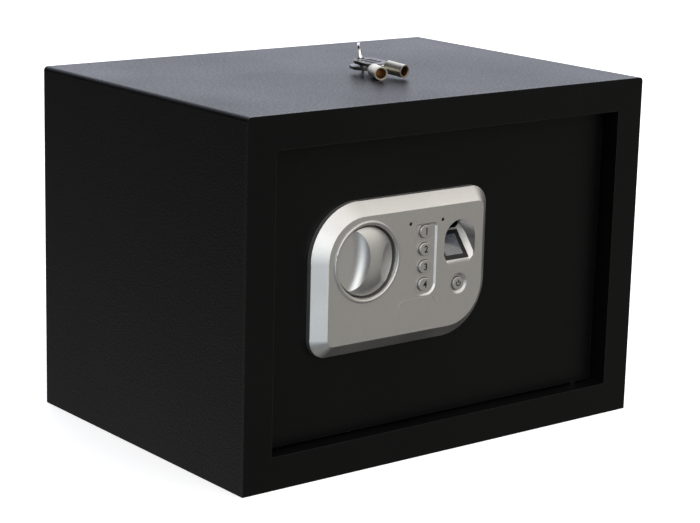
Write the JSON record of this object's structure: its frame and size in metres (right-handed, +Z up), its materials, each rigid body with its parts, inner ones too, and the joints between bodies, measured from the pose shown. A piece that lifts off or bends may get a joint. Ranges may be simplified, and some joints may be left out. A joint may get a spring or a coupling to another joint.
{
  "type": "gun safe",
  "caption": "Compact black steel safe with a recessed hinged door, a silver fingerprint and keypad lock, a turning knob that throws two bolts, an override lock and spare keys.",
  "frame": {"origin": "centre of the base's underside", "axes": "+Z up, the door faces -Y, +X to the right of someone facing the door, on the hinge side"},
  "size_m": [0.35, 0.2552, 0.27],
  "materials": {
    "powder_coat": "satin orange-peel powder coat",
    "felt": "needle felt",
    "zinc": "zinc plated",
    "silver_plastic": "silver paint on plastic, satin",
    "dark_lens": "gloss",
    "black_plastic": "moulded, fine grain",
    "sensor_glass": "gloss optical window",
    "circuit_green": "solder mask",
    "wire_sleeve": "matte sleeve",
    "brass": "machined",
    "coil_wire": "enamelled winding",
    "nickel": "bright nickel",
    "cell_wrap": "printed film, no text",
    "silver_knob": "silver paint, semi-gloss",
    "chrome": "polished",
    "button_silver": "silver paint, satin",
    "red_plastic": "moulded",
    "key_nickel": "nickel plated steel",
    "key_plastic": "moulded, semi-gloss"
  },
  "bodies": {
    "cabinet": {"body_wrap": "powder_coat", "base_plate": "powder_coat", "back_panel": "powder_coat", "front_frame": "powder_coat", "strike_channel": "powder_coat", "upper_hinge_bracket": "powder_coat", "lower_hinge_bracket": "powder_coat", "floor_mat": "felt"},
    "door": {"door_plate": "powder_coat", "inner_cover": "powder_coat", "cover_screws": "zinc", "upper_hinge_pin": "zinc", "lower_hinge_pin": "zinc", "bezel": "silver_plastic", "bezel_screws": "zinc", "led_lenses": "dark_lens", "sensor_frame": "black_plastic", "sensor_glass": "sensor_glass", "sensor_module": "circuit_green", "circuit_board": "circuit_green", "tact_switches": "black_plastic", "wire_harness": "wire_sleeve", "knob_bush": "brass", "carriage_posts": "zinc", "upper_bolt_guide": "zinc", "lower_bolt_guide": "zinc", "solenoid_frame": "zinc", "solenoid_coil": "coil_wire", "lock_cylinder": "nickel", "lock_nut": "zinc", "battery_box": "black_plastic", "battery_contacts": "nickel", "battery_1": "cell_wrap", "battery_2": "cell_wrap", "battery_3": "cell_wrap", "battery_4": "cell_wrap"},
    "knob": {"knob": "silver_knob", "spindle": "zinc", "crank": "zinc", "spindle_clip": "zinc"},
    "bolts": {"bolt_carriage": "zinc", "upper_bolt": "chrome", "lower_bolt": "chrome"},
    "plunger": {"plunger": "zinc", "plunger_spring": "zinc"},
    "lock_plug": {"lock_plug": "brass", "lock_cam": "zinc"},
    "button_1": {"button_1": "button_silver"},
    "button_2": {"button_2": "button_silver"},
    "button_3": {"button_3": "button_silver"},
    "button_4": {"button_4": "button_silver"},
    "power_button": {"power_button": "button_silver"},
    "reset_button": {"reset_button": "red_plastic"},
    "key_cover": {"key_cover": "silver_plastic"},
    "battery_cover": {"battery_cover": "black_plastic"},
    "key_ring": {"key_ring": "nickel"},
    "key_1": {"key_1_barrel": "key_nickel", "key_1_head": "key_plastic"},
    "key_2": {"key_2_barrel": "key_nickel", "key_2_head": "key_plastic"}
  },
  "joints": [
    {"name": "door_swing", "type": "hinge", "parent": "cabinet", "child": "door", "pos_m": [0.138, -0.106, 0.125], "axis": [0, 0, 1], "range_deg": [0, 100]},
    {"name": "knob_turn", "type": "hinge", "parent": "door", "child": "knob", "pos_m": [-0.0762, -0.11, 0.145], "axis": [0, -1, 0], "range_deg": [0, 70]},
    {"name": "bolt_throw", "type": "slide", "parent": "door", "child": "bolts", "axis": [-1, 0, 0], "range_m": [0, 0.01491]},
    {"name": "plunger_rise", "type": "slide", "parent": "door", "child": "plunger", "axis": [0, 0, 1], "range_m": [0, 0.00905], "deforming": ["plunger_spring"]},
    {"name": "override_key_turn", "type": "hinge", "parent": "door", "child": "lock_plug", "pos_m": [-0.03225, -0.11, 0.102], "axis": [0, 1, 0], "range_deg": [0, 90]},
    {"name": "button_1_press", "type": "slide", "parent": "door", "child": "button_1", "axis": [0, 1, 0], "range_m": [0, 0.0006], "stiffness_N_per_m": 400},
    {"name": "button_2_press", "type": "slide", "parent": "door", "child": "button_2", "axis": [0, 1, 0], "range_m": [0, 0.0006], "stiffness_N_per_m": 400},
    {"name": "button_3_press", "type": "slide", "parent": "door", "child": "button_3", "axis": [0, 1, 0], "range_m": [0, 0.0006], "stiffness_N_per_m": 400},
    {"name": "button_4_press", "type": "slide", "parent": "door", "child": "button_4", "axis": [0, 1, 0], "range_m": [0, 0.0006], "stiffness_N_per_m": 400},
    {"name": "power_button_press", "type": "slide", "parent": "door", "child": "power_button", "axis": [0, 1, 0], "range_m": [0, 0.0006], "stiffness_N_per_m": 400},
    {"name": "reset_press", "type": "slide", "parent": "door", "child": "reset_button", "axis": [0, -1, 0], "range_m": [0, 0.001], "stiffness_N_per_m": 400},
    {"name": "key_cover_off", "type": "slide", "parent": "door", "child": "key_cover", "axis": [0, -1, 0], "range_m": [0, 0.03]},
    {"name": "battery_cover_off", "type": "slide", "parent": "door", "child": "battery_cover", "axis": [0, 1, 0], "range_m": [0, 0.05]},
    {"name": "keys_lift", "type": "slide", "parent": "cabinet", "child": "key_ring", "axis": [0, 0, 1], "range_m": [0, 0.08]},
    {"name": "key_1_swivel", "type": "hinge", "parent": "key_ring", "child": "key_1", "pos_m": [0.01014, -0.00617, 0.255], "axis": [0, 0, 1], "range_deg": [-40, 0]},
    {"name": "key_2_swivel", "type": "hinge", "parent": "key_ring", "child": "key_2", "pos_m": [0.00849, -0.00683, 0.259], "axis": [0, 0, 1], "range_deg": [0, 40]}
  ],
  "couplings": [
    {"joint": "knob_turn", "follows": "bolt_throw", "rad_per_m": 81.92},
    {"joint": "plunger_rise", "follows": "bolt_throw", "ratio": 0.6035}
  ]
}
